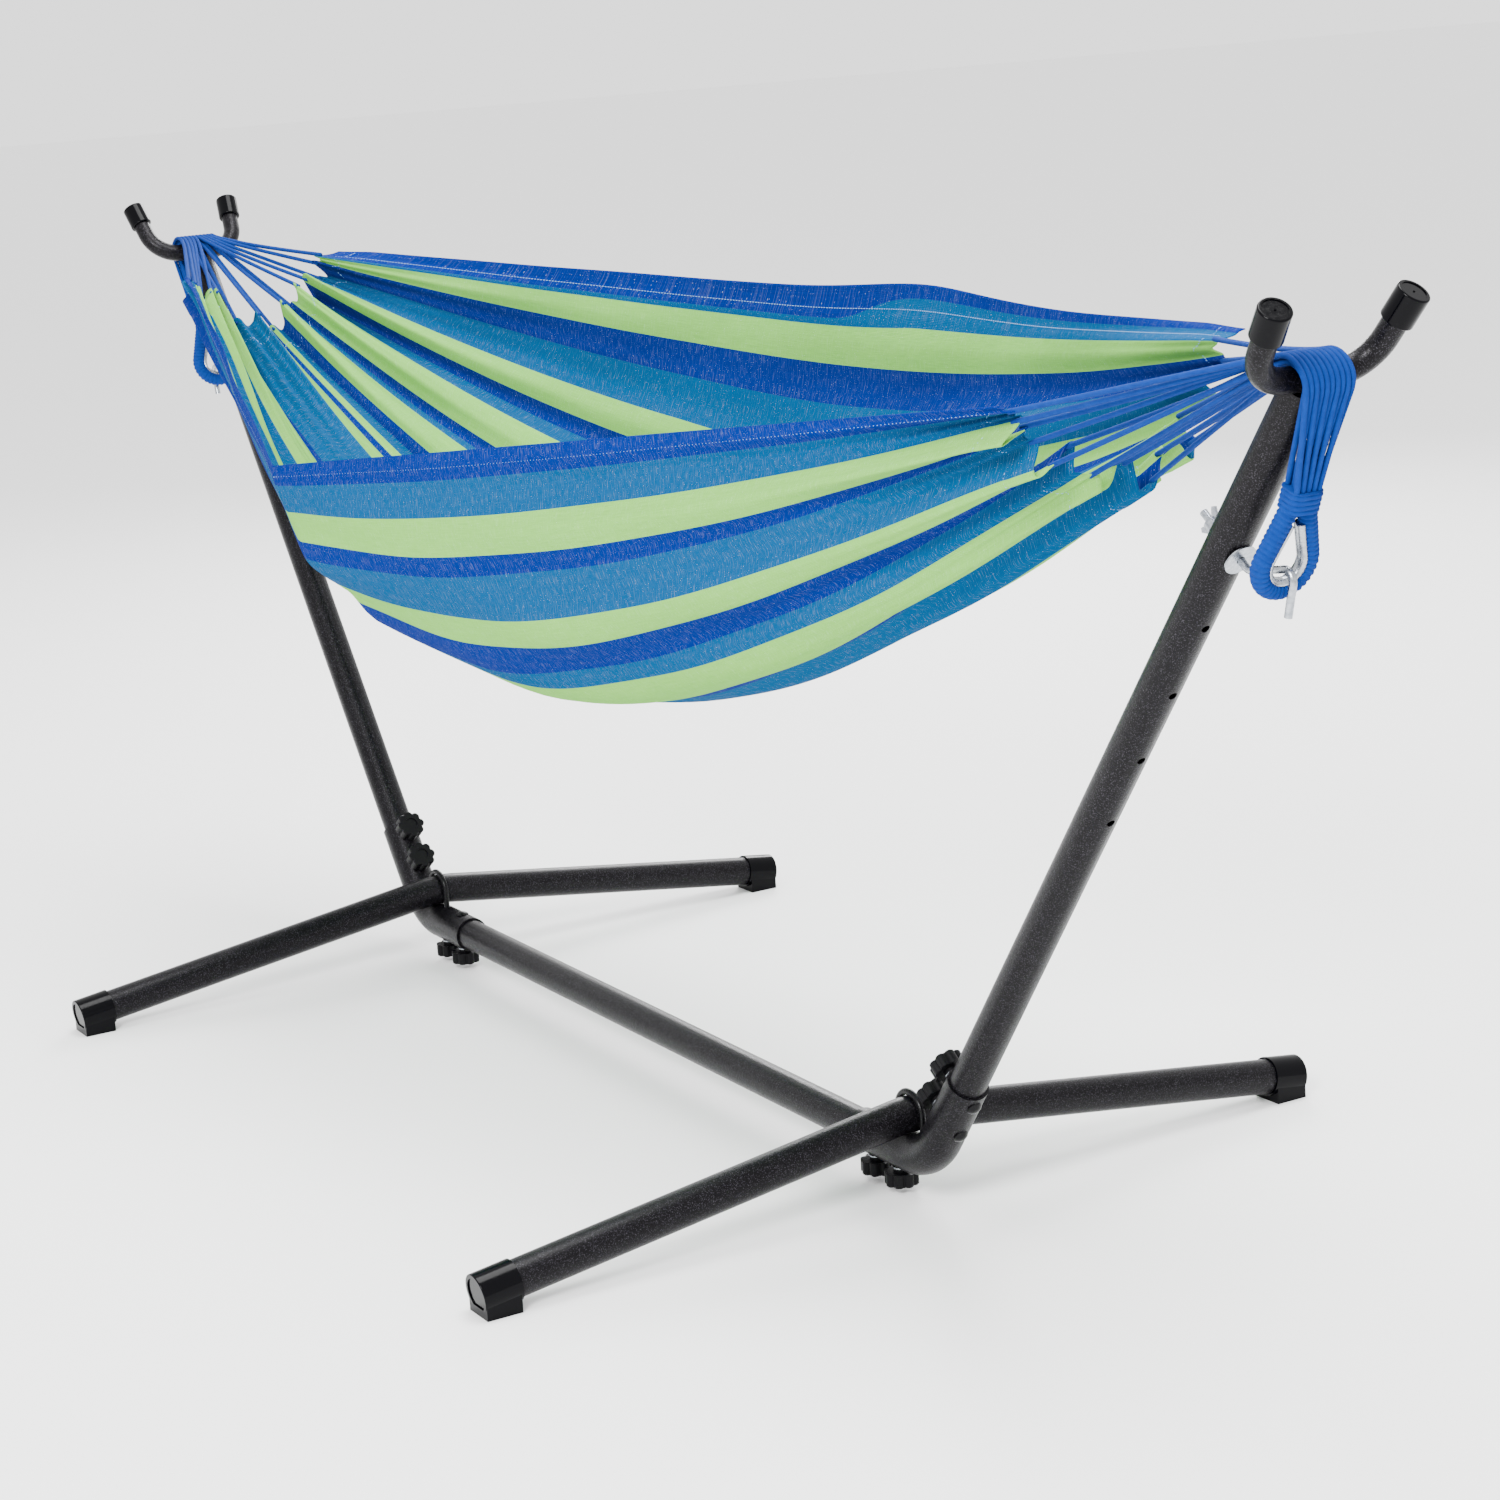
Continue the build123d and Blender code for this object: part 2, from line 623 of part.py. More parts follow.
def tail_route(layer, place):
    """One cord from the whipping, over the saddle, to where the swinging part begins."""
    stagger = 0.5 if floor(place) % 2 else -0.5
    shift = whip_layer * (layer - 0.5) + whip_stagger * stagger
    start = hang + along * (whip_high + whip_gap) + across * shift + Vector(0, place * whip_pitch, 0)
    first, second = [c + Vector(0, place * saddle_pitch, 0) for c in saddle_corners(layer)]
    end_x = saddle.X - split_in + split_gap
    end = second + leave * ((second.X - end_x) / -leave.X)
    return [start, first, second, end]


radii = set()
tails = []
for index in range(cord_count):
    route = tail_route(*cord_place(index))
    bends = [corner_radius(*route[i - 1 : i + 2]) for i in (1, 2)]
    radii.update(round(r, 1) for r in bends)
    with BuildPart() as tail_cord:
        with BuildLine() as tail_line:
            FilletPolyline(*route, radius=bends)
        with BuildSketch(Plane(origin=route[0], z_dir=route[1] - route[0])):
            Circle(cord_r)
        sweep(path=tail_line.wires()[0])
    tails.append(tail_cord.part)
section = pi * cord_r**2 * tail_line.wires()[0].length
print("tail cord radii", sorted(radii))
print("last tail cord volume", round(tails[-1].volume), "section times length", round(section))
save_pair(Compound(children=tails), "tail_cords")

for side, word, cloth_end in ((1, "a", cloth_end_a), (-1, "b", cloth_end_b)):
    clews = []
    for index in range(cord_count):
        over = tail_route(*cord_place(index))[-1] - Vector(split_gap, 0, 0)
        y, z = cloth_point(cloth_end, (index + 0.5) / cord_count)
        start = Vector(side * over.X, over.Y, over.Z)
        end = Vector(cloth_end + side * fan_gap, y, z)
        with BuildPart() as clew_cord:
            with BuildSketch(Plane(origin=start, z_dir=end - start)):
                Circle(cord_r)
            extrude(amount=(end - start).length)
        clews.append(clew_cord.part)
    save(Compound(children=clews), f"clew_cords_{word}")
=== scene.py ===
"""Looks of the hammock on a steel stand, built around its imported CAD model.  Everything is in metres.

+X runs along the hammock towards end a, +Y across it, +Z up.  End b is end a mirrored in X.
"""
import json
from math import asin, acos, atan2, cos, floor, pi, radians, sin, tan

import bpy
import numpy as np
from mathutils import Matrix, Vector


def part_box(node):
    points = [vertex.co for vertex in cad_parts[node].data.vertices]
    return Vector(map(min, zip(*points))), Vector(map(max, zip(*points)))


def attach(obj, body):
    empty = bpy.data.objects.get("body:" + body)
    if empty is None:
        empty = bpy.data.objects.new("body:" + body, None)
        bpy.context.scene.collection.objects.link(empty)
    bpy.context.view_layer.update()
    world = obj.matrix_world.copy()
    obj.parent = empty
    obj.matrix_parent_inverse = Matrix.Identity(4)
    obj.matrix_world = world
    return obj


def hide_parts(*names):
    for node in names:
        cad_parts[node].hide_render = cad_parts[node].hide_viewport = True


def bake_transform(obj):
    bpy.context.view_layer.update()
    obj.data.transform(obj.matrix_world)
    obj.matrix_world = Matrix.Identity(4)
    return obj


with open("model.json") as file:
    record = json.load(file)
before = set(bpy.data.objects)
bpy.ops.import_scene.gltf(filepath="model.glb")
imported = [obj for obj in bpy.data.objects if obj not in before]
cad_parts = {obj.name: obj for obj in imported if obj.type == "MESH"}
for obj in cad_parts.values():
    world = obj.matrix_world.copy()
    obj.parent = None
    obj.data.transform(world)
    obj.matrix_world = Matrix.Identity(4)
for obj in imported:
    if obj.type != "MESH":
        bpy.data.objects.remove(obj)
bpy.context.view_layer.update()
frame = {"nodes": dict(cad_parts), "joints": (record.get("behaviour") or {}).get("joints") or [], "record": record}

joints = {j["name"]: j for j in frame["joints"]}

# ---- stand: what the cords and the eye hang from -------------------------------------------------
hook_seat = Vector(joints["wing_nut_a_turn"]["pos_m"])
out = -Vector(joints["wing_nut_a_turn"]["axis"])            # across upright a, away from the hammock
up = Vector((-out.z, 0, out.x))                             # along upright a
saddle_height = 0.2055                                      # up the upright from the hook to the fork
saddle = hook_seat + up * saddle_height
fork_r = 0.0125
bend_out = 0.037
hook_bend = hook_seat + out * bend_out
hook_reach = Vector((1.326, 0, 0.812))                      # the far end of the hook's sloping rod
hang_share = 0.74                                           # where the eye hangs along that rod
hang = hook_bend + (hook_reach - hook_bend) * hang_share
hook_r = 0.004

# ---- cords ---------------------------------------------------------------------------------------
cord_d = 0.006
cord_r = cord_d / 2
layer_cords = (8, 10)
cord_count = sum(layer_cords)
saddle_pitch = 0.0062
saddle_layer = 0.0069
saddle_gap = 0.0008
rim_gap = 0.0063
whip_low = 0.065
whip_high = 0.084
whip_pitch = 0.0031
whip_stagger = 0.006
whip_layer = 0.012
whip_gap = 0.001
whip_w = 0.036
whip_t = 0.030
leave_slope = radians(11.0)
cord_step = 0.0022
cord_sides = 12
cord_in_cloth = 0.012
cord_sag_step = 0.0015
braid_pitch = 0.011

# ---- eye -----------------------------------------------------------------------------------------
thimble_r = 0.0155
thimble_t = 0.0025
thimble_w = 0.014
thimble_tip = 0.040
thimble_tip_gap = 0.002
thimble_step = 0.0012
hook_clear = 0.0003
# section of the thimble's channel: how far out from its inner line, and how far to the side
thimble_section = (
    (0.0058, -0.0070), (0.0036, -0.0066), (0.0014, -0.0052), (0.0, -0.0025), (0.0, 0.0025), (0.0014, 0.0052),
    (0.0036, 0.0066), (0.0058, 0.0070), (0.0060, 0.0058), (0.0042, 0.0054), (0.0027, 0.0044),
    (0.0016, 0.0022), (0.0016, -0.0022), (0.0027, -0.0044), (0.0042, -0.0054), (0.0060, -0.0058),
)
eye_rope_r = 0.0095
eye_rope_gap = 0.0002
eye_in_whipping = 0.004
wrap_pitch = 0.0052
eye_sides = 28
whip_rib = 0.0022
whip_rib_foot = 0.0020
whip_over = 0.001                                           # how far the turns start before the core
whip_extra = 0.0025                                         # how much longer they are than the core
whip_squareness = 0.62

# ---- cloth: the same curves as its CAD shell -----------------------------------------------------
near_hem_a = Vector((1.0, -0.072, 0.945))
near_hem_fold = Vector((-0.28, -0.335, 0.793))
near_hem_b = Vector((-1.0, -0.143, 0.969))
keel_a = Vector((0.96, 0.09, 0.842))
keel_mid = Vector((0.0, 0.0, 0.486))
keel_b = Vector((-0.96, -0.06, 0.872))
far_hem_a = Vector((1.0, 0.195, 0.988))
far_hem_mid = Vector((0.1, 0.345, 0.958))
far_hem_b = Vector((-1.0, 0.075, 0.994))
keel_power = 1.75
far_power = 1.6
wall_droop = 0.45
keel_reach = 0.31
keel_tilt = 0.6
cloth_end_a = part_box("hammock_bed")[1].x
cloth_end_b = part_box("hammock_bed")[0].x
cloth_width = 1.2
cloth_length = 2.1
cloth_t = 0.0012
hem_w = 0.026
casing_w = 0.042
hem_step = 0.0009
scallop = 0.007
# depth of the pleats: in the middle, what the end adds, and how late along the cloth it comes
pleat_depth_a = (0.005, 0.012, 2.6)
pleat_depth_b = (0.004, 0.013, 2.8)
pleat_inset = 0.35
gather_depth = 0.0065
crease_depth = 0.0024
crease_count = 43

# ---- weave and stitches --------------------------------------------------------------------------
weave_rib = 0.0026
weave_thread = 0.0013
weave_zigzag = 0.011
stitch_run = 1.3
stitch_r = 0.00045
stitch_foot = 0.0003
stitch_height = 0.00135
stitch_crown = 0.0004

# stripe: colour, and where it ends, as a share of the cloth's width from the near hem
stripes = (
    ("royal", 0.034), ("azure", 0.081), ("lime", 0.130), ("royal", 0.160), ("azure", 0.215),
    ("lime", 0.258), ("royal", 0.310), ("azure", 0.342), ("lime", 0.422), ("royal", 0.442),
    ("azure", 0.525), ("lime", 0.556), ("royal", 0.572), ("lime", 0.588), ("azure", 0.605),
    ("royal", 0.625), ("lime", 0.668), ("azure", 0.683), ("royal", 0.70), ("lime", 0.757),
    ("azure", 0.775), ("royal", 0.80), ("lime", 0.837), ("azure", 0.888), ("royal", 0.928),
    ("lime", 0.968), ("azure", 0.986), ("royal", 1.0),
)
# pleats towards each end: place across the cloth, and how far it stands out (+) or in (-) there
pleats_a = (
    (0.0, 0.0), (0.02, 0.5), (0.052, -1.0), (0.105, 1.0), (0.16, -1.3), (0.236, 1.0), (0.30, -1.3),
    (0.38, 1.0), (0.455, -1.2), (0.52, 0.9), (0.61, -1.0), (0.68, 0.8), (0.745, -1.0), (0.815, 1.0),
    (0.868, -1.0), (0.91, 0.9), (0.955, -0.8), (1.0, 0.0),
)
pleats_b = (
    (0.0, -0.3), (0.03, 0.5), (0.075, 0.2), (0.115, -0.7), (0.165, 0.7), (0.24, -1.2), (0.30, 1.0),
    (0.37, -1.1), (0.45, 1.0), (0.52, -1.2), (0.585, 1.0), (0.648, -1.2), (0.69, 0.9), (0.732, -1.3),
    (0.785, 1.1), (0.82, -1.2), (0.865, 1.0), (0.90, 0.4), (0.95, -1.2), (1.0, 0.0),
)
# how far each end's edge reaches past the CAD cloth's end, at places across the cloth
reach_a = (
    (0.0, 0.012), (0.05, 0.010), (0.11, 0.0), (0.19, -0.004), (0.26, 0.004), (0.33, 0.0), (0.42, 0.004),
    (0.50, -0.010), (0.60, -0.015), (0.76, -0.03), (0.86, -0.02), (0.95, -0.01), (1.0, 0.022),
)
reach_b = (
    (0.0, 0.03), (0.10, 0.035), (0.20, 0.02), (0.32, 0.04), (0.44, 0.02), (0.52, -0.01), (0.62, -0.015),
    (0.71, 0.005), (0.81, 0.008), (0.91, 0.012), (1.0, 0.0),
)

# the dyes, as 8-bit sRGB
srgb = {"royal": (0, 34, 116), "azure": (0, 74, 122), "lime": (124, 188, 84)}


def linear(rgb):
    """An 8-bit sRGB colour as linear RGBA."""
    values = [c / 255 for c in rgb]
    return tuple(c / 12.92 if c <= 0.04045 else ((c + 0.055) / 1.055) ** 2.4 for c in values) + (1.0,)


# ==================================================================================================
# Materials
# ==================================================================================================
class Nodes:
    """A material's node tree, with one short call per node."""

    def __init__(self, name):
        self.material = bpy.data.materials.new(name)
        self.material.use_nodes = True
        self.tree = self.material.node_tree
        self.shader = self.tree.nodes["Principled BSDF"]

    def add(self, kind, inputs=None, **settings):
        node = self.tree.nodes.new("ShaderNode" + kind)
        for key, value in settings.items():
            setattr(node, key, value)
        for key, value in (inputs or {}).items():
            self.put(node.inputs[key], value)
        return node

    def put(self, socket, value):
        if isinstance(value, bpy.types.NodeSocket):
            self.tree.links.new(value, socket)
        else:
            socket.default_value = value

    def math(self, operation, a, b=0.0):
        return self.add("Math", {0: a, 1: b}, operation=operation).outputs[0]

    def noise(self, vector, scale, detail=2.0, rough=0.5):
        inputs = {"Vector": vector, "Scale": scale, "Detail": detail, "Roughness": rough}
        return self.add("TexNoise", inputs).outputs["Fac"]

    def step(self, value, low, high, to_low=0.0, to_high=1.0):
        inputs = {0: value, 1: low, 2: high, 3: to_low, 4: to_high}
        return self.add("MapRange", inputs, clamp=True).outputs[0]

    def mix(self, share, a, b, blend="MIX"):
        node = self.add("Mix", data_type="RGBA", blend_type=blend)
        self.put(node.inputs["Factor"], share)
        self.put(node.inputs[6], a)
        self.put(node.inputs[7], b)
        return node.outputs[2]

    def set(self, **values):
        for key, value in values.items():
            self.put(self.shader.inputs[key.replace("_", " ")], value)

    def bump(self, height, distance, strength=1.0):
        inputs = {"Height": height, "Distance": distance, "Strength": strength}
        self.put(self.shader.inputs["Normal"], self.add("Bump", inputs).outputs[0])


def object_place(m):
    return m.add("TexCoord").outputs["Object"]


def hammertone():
    """Charcoal hammertone powder coat: small dimples, metal flakes and lightly worn highlights."""
    m = Nodes("frame_paint")
    place = object_place(m)
    cells = m.add("TexVoronoi", {"Vector": place, "Scale": 620.0}, feature="SMOOTH_F1").outputs["Distance"]
    flakes = m.add("TexVoronoi", {"Vector": place, "Scale": 1500.0}).outputs["Color"]
    flake = m.step(m.add("SeparateColor", {0: flakes}).outputs[0], 0.86, 0.98)
    cloudy = m.noise(place, 26.0, 3.0)
    base = m.mix(cloudy, linear((5, 4, 6)), linear((10, 9, 12)))
    m.set(Base_Color=m.mix(flake, base, linear((58, 56, 62))))
    m.set(Metallic=0.25, Specular_IOR_Level=0.14)
    m.set(Roughness=m.step(m.noise(place, 900.0), 0.3, 0.75, 0.24, 0.52))
    m.bump(m.math("ADD", cells, m.math("MULTIPLY", m.noise(place, 300.0), 0.3)), 0.0004, 0.5)
    return m.material


def moulded(name, colour, rough, grain, shine):
    """Moulded black plastic with a fine grain and faint scuffs."""
    m = Nodes(name)
    place = object_place(m)
    scuff = m.step(m.noise(place, 70.0, 6.0, 0.7), 0.62, 0.8)
    m.set(Base_Color=m.mix(scuff, linear(colour), linear(tuple(c + 8 for c in colour))))
    m.set(Roughness=m.step(m.noise(place, 240.0, 4.0), 0.3, 0.7, rough - 0.05, rough + 0.12))
    m.set(Specular_IOR_Level=shine)
    m.bump(m.noise(place, 2600.0, 2.0), 0.0002, grain)
    return m.material


def zinc():
    """Bright zinc plate with faint spangle and drawing marks."""
    m = Nodes("zinc_steel")
    place = object_place(m)
    spangle = m.add("TexVoronoi", {"Vector": place, "Scale": 260.0}).outputs["Distance"]
    m.set(Base_Color=m.mix(spangle, linear((176, 180, 186)), linear((140, 145, 152))), Metallic=1.0)
    m.set(Roughness=m.step(m.noise(place, 420.0, 5.0), 0.3, 0.75, 0.16, 0.38))
    m.bump(m.noise(place, 1500.0, 3.0), 0.0001, 0.5)
    return m.material


def black_steel():
    """Black plated steel of the bolts and clamp hooks."""
    m = Nodes("black_steel")
    place = object_place(m)
    worn = m.step(m.noise(place, 160.0, 6.0, 0.7), 0.66, 0.78)
    m.set(Base_Color=m.mix(worn, linear((10, 10, 12)), linear((50, 50, 54))))
    m.set(Metallic=0.4, Specular_IOR_Level=0.2)
    m.set(Roughness=m.step(m.noise(place, 500.0, 4.0), 0.3, 0.7, 0.18, 0.42))
    m.bump(m.noise(place, 1800.0), 0.0001, 0.5)
    return m.material


def cord_cotton():
    """Braided blue cotton: two sets of slanting yarns, with fuzz, faded patches, and painted shade in the hollows
    between the yarns.
    """
    m = Nodes("cord_cotton")
    place = object_place(m)
    yarn = m.noise(place, 2300.0, 3.0, 0.6)
    fade = m.noise(place, 120.0, 3.0)
    base = m.mix(fade, linear((0, 40, 112)), linear((4, 58, 142)))
    # the blue is darkened where the yarn bump is low: partly yarn tone, partly painted shade in the hollows
    # between the yarns
    m.set(Base_Color=m.mix(m.step(yarn, 0.36, 0.68), m.mix(0.35, base, linear((0, 18, 60))), base))
    m.set(Roughness=0.9, Specular_IOR_Level=0.15)
    m.bump(yarn, 0.0005, 0.7)
    return m.material


def thread():
    """Pale blue sewing thread."""
    m = Nodes("thread")
    fibres = m.noise(object_place(m), 3000.0)
    m.set(Base_Color=m.mix(fibres, linear((70, 120, 190)), linear((150, 190, 226))), Roughness=0.8)
    return m.material


def woven(name, coloured):
    """Twill weave by the cloth's own width and length, given a colour at a place across it."""
    m = Nodes(name)
    flat = m.add("SeparateXYZ", {0: m.add("UVMap", uv_map="flat").outputs[0]})
    across, along = flat.outputs[0], flat.outputs[1]
    base = coloured(m, across)

    def stretched(times_across, times_along):
        scaled = {0: m.math("MULTIPLY", across, times_across), 1: m.math("MULTIPLY", along, times_along)}
        return m.add("CombineXYZ", scaled).outputs[0]

    warp_noise = m.noise(stretched(820.0, 26.0), 1.0, 2.0)
    weft_noise = m.noise(stretched(60.0, 700.0), 1.0, 2.0)
    zigzag = m.math("PINGPONG", across, weave_zigzag)
    ribs = m.math("SINE", m.math("MULTIPLY", m.math("ADD", along, zigzag), 2 * pi / weave_rib))
    threads = m.math("SINE", m.math("MULTIPLY", across, 2 * pi / weave_thread))
    fleck_place = stretched(900.0, 520.0)
    light_fleck = m.step(m.noise(fleck_place, 1.0, 1.0), 0.70, 0.76)
    dark_fleck = m.step(m.noise(fleck_place, 1.37, 1.0), 0.72, 0.77)
    dark = m.mix(1.0, base, (0.62, 0.66, 0.72, 1.0), "MULTIPLY")
    pale = m.mix(0.14, base, (0.86, 0.92, 0.96, 1.0))
    body = m.mix(m.step(warp_noise, 0.3, 0.72, 0.0, 0.55), base, dark)
    body = m.mix(m.step(ribs, 0.1, 1.0, 0.0, 0.42), body, dark)
    body = m.mix(m.step(weft_noise, 0.52, 0.8, 0.0, 0.5), body, pale)
    body = m.mix(m.math("MULTIPLY", light_fleck, 0.38), body, (0.78, 0.88, 0.95, 1.0))
    body = m.mix(m.math("MULTIPLY", dark_fleck, 0.75), body, (0.02, 0.07, 0.10, 1.0))
    m.set(Base_Color=body, Roughness=0.92, Specular_IOR_Level=0.03)
    height = m.math("ADD", m.math("MULTIPLY", ribs, 0.6), m.math("MULTIPLY", threads, 0.3))
    m.bump(m.math("ADD", height, warp_noise), 0.0004, 0.6)
    return m.material


def striped(m, across):
    """Stripe colours across the cloth."""
    ramp = m.add("ValToRGB", {0: m.math("DIVIDE", across, cloth_width)})
    ramp.color_ramp.interpolation = "CONSTANT"
    stops = ramp.color_ramp.elements
    start = 0.0
    for index, (colour, end) in enumerate(stripes):
        stop = stops[index] if index < 2 else stops.new(start)
        stop.position = start
        stop.color = linear(srgb[colour])
        start = end
    return ramp.outputs[0]


# ==================================================================================================
# Mesh helpers
# ==================================================================================================
def mesh_piece(name, points, faces, uv=None, material=None):
    """A smooth-shaded mesh object; uv gives each vertex its place in the map called flat."""
    mesh = bpy.data.meshes.new(name)
    mesh.from_pydata([tuple(p) for p in points], [], faces)
    mesh.polygons.foreach_set("use_smooth", [True] * len(mesh.polygons))
    if uv is not None:
        layer = mesh.uv_layers.new(name="flat")
        corners = np.zeros(len(mesh.loops), dtype=np.int32)
        mesh.loops.foreach_get("vertex_index", corners)
        layer.data.foreach_set("uv", np.asarray(uv, dtype=np.float32)[corners].ravel())
    mesh.update()
    piece = bpy.data.objects.new(name, mesh)
    bpy.context.scene.collection.objects.link(piece)
    if material:
        mesh.materials.append(material)
    return piece


def grid_faces(rows, columns, wrap=False):
    """Quads of a grid of points, row after row; wrap joins its last column to its first."""
    reach = columns if wrap else columns - 1
    return [
        (r * columns + c, r * columns + (c + 1) % columns,
         (r + 1) * columns + (c + 1) % columns, (r + 1) * columns + c)
        for r in range(rows - 1) for c in range(reach)
    ]


def tube_faces(rows, sides):
    """Quads of a tube made of rings of points, with a face over each end."""
    ends = [tuple(reversed(range(sides))), tuple(range((rows - 1) * sides, rows * sides))]
    return grid_faces(rows, sides, wrap=True) + ends


def even_points(points, step):
    """Points along a polyline, evenly spaced by about step, with their distances from its start."""
    points = np.asarray(points, float)
    lengths = np.concatenate(([0], np.cumsum(np.linalg.norm(np.diff(points, axis=0), axis=1))))
    count = max(2, int(round(lengths[-1] / step)) + 1)
    places = np.linspace(0, lengths[-1], count)
    return np.stack([np.interp(places, lengths, points[:, k]) for k in range(3)], 1), places


def tube_mesh(points, places, radius, sides, first_normal=(0, 1, 0)):
    """Rings round a line, by a radius of place and angle; returns points, faces with end caps, and uv."""
    ways = np.gradient(points, axis=0)
    ways /= np.linalg.norm(ways, axis=1)[:, None]
    normal = np.array(first_normal, float)
    angles = np.linspace(0, 2 * pi, sides, endpoint=False)
    rings, uv = [], []
    for point, way, place in zip(points, ways, places):
        normal = normal - way * (normal @ way)
        normal /= np.linalg.norm(normal)
        side = np.cross(way, normal)
        r = radius(place, angles)
        rings.append(point + (np.cos(angles) * r)[:, None] * normal + (np.sin(angles) * r)[:, None] * side)
        uv.extend((a, place) for a in angles)
    return np.concatenate(rings), tube_faces(len(points), sides), uv


def smooth_line(route):
    """Points of the smooth curve that a route's points control, ends included."""
    data = bpy.data.curves.new("route", "CURVE")
    data.dimensions = "3D"
    data.resolution_u = 32
    spline = data.splines.new("NURBS")
    spline.points.add(len(route) - 1)
    for point, place in zip(spline.points, route):
        point.co = (*place, 1.0)
    spline.order_u = 3
    spline.use_endpoint_u = True
    holder = bpy.data.objects.new("route", data)
    line = bpy.data.meshes.new_from_object(holder)
    points = np.array([tuple(v.co) for v in line.vertices])
    bpy.data.objects.remove(holder)
    bpy.data.curves.remove(data)
    bpy.data.meshes.remove(line)
    return points


# ==================================================================================================
# Cloth shape
# ==================================================================================================
def fold_point(x, end_a, fold, end_b):
    """A point at x on a line that runs straight from each end to its fold."""
    end = end_a if x > fold.x else end_b
    return fold + (end - fold) * ((x - fold.x) / (end.x - fold.x))


def sag_point(x, end_a, low, end_b, power):
    """A point at x on a line that sags from both ends to its lowest point."""
    end = end_a if x > low.x else end_b
    return low + (end - low) * abs((x - low.x) / (end.x - low.x)) ** power


def cloth_rows(x, v):
    """Places of the smooth cloth at x for an array of shares v across it, as (y, z) rows."""
    near = np.array(fold_point(x, near_hem_a, near_hem_fold, near_hem_b))[1:]
    keel = np.array(sag_point(x, keel_a, keel_mid, keel_b, keel_power))[1:]
    far = np.array(sag_point(x, far_hem_a, far_hem_mid, far_hem_b, far_power))[1:]
    run = (far - near) * keel_reach
    near_drop = np.array((0, wall_droop * abs(near[1] - keel[1])))
    far_drop = np.array((0, wall_droop * abs(far[1] - keel[1])))
    slope = np.array((1.0, keel_tilt))
    left = (near, near - near_drop, keel - run * slope, keel)
    right = (keel, keel + run * slope, far - far_drop, far)
    t = np.where(v <= 0.5, 2 * v, 2 * v - 1)[:, None]
    weights = ((1 - t) ** 3, 3 * t * (1 - t) ** 2, 3 * t * t * (1 - t), t ** 3)
    sides = [sum(w * p for w, p in zip(weights, half)) for half in (left, right)]
    return np.where((v <= 0.5)[:, None], *sides)


def listed(places, values, v):
    """A smooth line through listed values, with level crests and troughs."""
    at = np.clip(np.searchsorted(places, v, side="right") - 1, 0, len(places) - 2)
    t = (v - places[at]) / (places[at + 1] - places[at])
    t = t * t * (3 - 2 * t)
    return values[at] + (values[at + 1] - values[at]) * t


def edge_reach(side, v):
    """X of the cloth's end edge at shares v across it, scalloped between the cords."""
    table = np.array(reach_a if side > 0 else reach_b)
    end = cloth_end_a if side > 0 else cloth_end_b
    between_cords = scallop * (1 + np.cos(2 * pi * cord_count * v))
    return end + side * (np.interp(v, table[:, 0], table[:, 1]) - between_cords)


def smooth(value, low, high):
    """0 below low, 1 above high and a smooth rise between them."""
    t = np.clip((value - low) / (high - low), 0, 1)
    return t * t * (3 - 2 * t)


def pleat_depth(depth, end):
    """Depth of the pleats, by how near the end of the cloth they are."""
    middle, added, power = depth
    return middle + added * end ** power


def cloth_grid(shares_along, v, lift=0.0):
    """The pleated cloth: rows along it from end b to end a, columns across it from hem to hem."""
    x_low, x_high = edge_reach(-1, v), edge_reach(1, v)
    tables = [np.array(pleats) for pleats in (pleats_a, pleats_b)]
    fold_a, fold_b = [listed(table[:, 0], table[:, 1], v)[None, :] for table in tables]
    rows = []
    for share in shares_along:
        x = x_low + (x_high - x_low) * share
        flat = np.array([cloth_rows(xi, np.array([vi]))[0] for xi, vi in zip(x, v)])
        rows.append(np.column_stack((x, flat)))
    base = np.array(rows)
    slope = np.gradient(base, axis=1)
    way = np.gradient(base, axis=0)
    normal = np.cross(slope, way)
    normal /= np.linalg.norm(normal, axis=2)[:, :, None]
    x = base[:, :, 0]
    end = np.clip(np.abs(x) / abs(cloth_end_b), 0, 1.05)
    fold = fold_b + (fold_a - fold_b) * smooth(x, -0.25, 0.25)
    depth = np.where(x > 0, pleat_depth(pleat_depth_a, end), pleat_depth(pleat_depth_b, end))
    inward = pleat_inset * np.clip(v / 0.06, 0, 1) * np.clip((1 - v) / 0.06, 0, 1)
    gather = gather_depth * end ** 7 * (1 + np.cos(2 * pi * cord_count * v))
    crease = crease_depth * end ** 4 * np.cos(2 * pi * crease_count * v + 1.5 * np.sin(11 * v))
    # slow waves that keep the pleats from being regular
    drift = 0.0018 * np.sin(9.0 * x + 23.0 * v) + 0.0013 * np.sin(21.0 * x - 41.0 * v + 1.3)
    shape = base + normal * (depth * (fold - inward) + gather + crease + drift + lift)[:, :, None]
    # the far hem rolls up a little, most of all just past the middle
    roll_height = 0.004 + 0.016 * np.exp(-((x - 0.2) / 0.2) ** 2)
    roll = smooth(v, 0.955, 1.0) * roll_height * smooth(1 - end, 0.0, 0.1)
    shape[:, :, 2] += roll
    shape[:, :, 1] += 0.35 * roll
    return shape, normal


def shares_between(count, dense):
    """Shares from 0 to 1 that crowd towards both ends."""
    t = np.linspace(-1, 1, count)
    return 0.5 + 0.5 * np.sign(t) * np.abs(t) ** dense


# ==================================================================================================
# Cord routes
# ==================================================================================================
to_saddle = saddle - hang
layer_r = [fork_r + saddle_gap + cord_r + layer * saddle_layer for layer in range(2)]
bundle_r = sum(layer_r) / 2 + rim_gap
bundle_tilt = atan2(to_saddle.x, to_saddle.z) + asin(bundle_r / to_saddle.length)
along = Vector((sin(bundle_tilt), 0, cos(bundle_tilt)))
across = Vector((cos(bundle_tilt), 0, -sin(bundle_tilt)))
leave = Vector((-cos(leave_slope), 0, -sin(leave_slope)))
rod_tilt = acos((hook_reach - hook_bend).normalized().dot(across))
eye_centre = thimble_r - (hook_r / cos(rod_tilt) + thimble_w / 2 * tan(rod_tilt)) - hook_clear


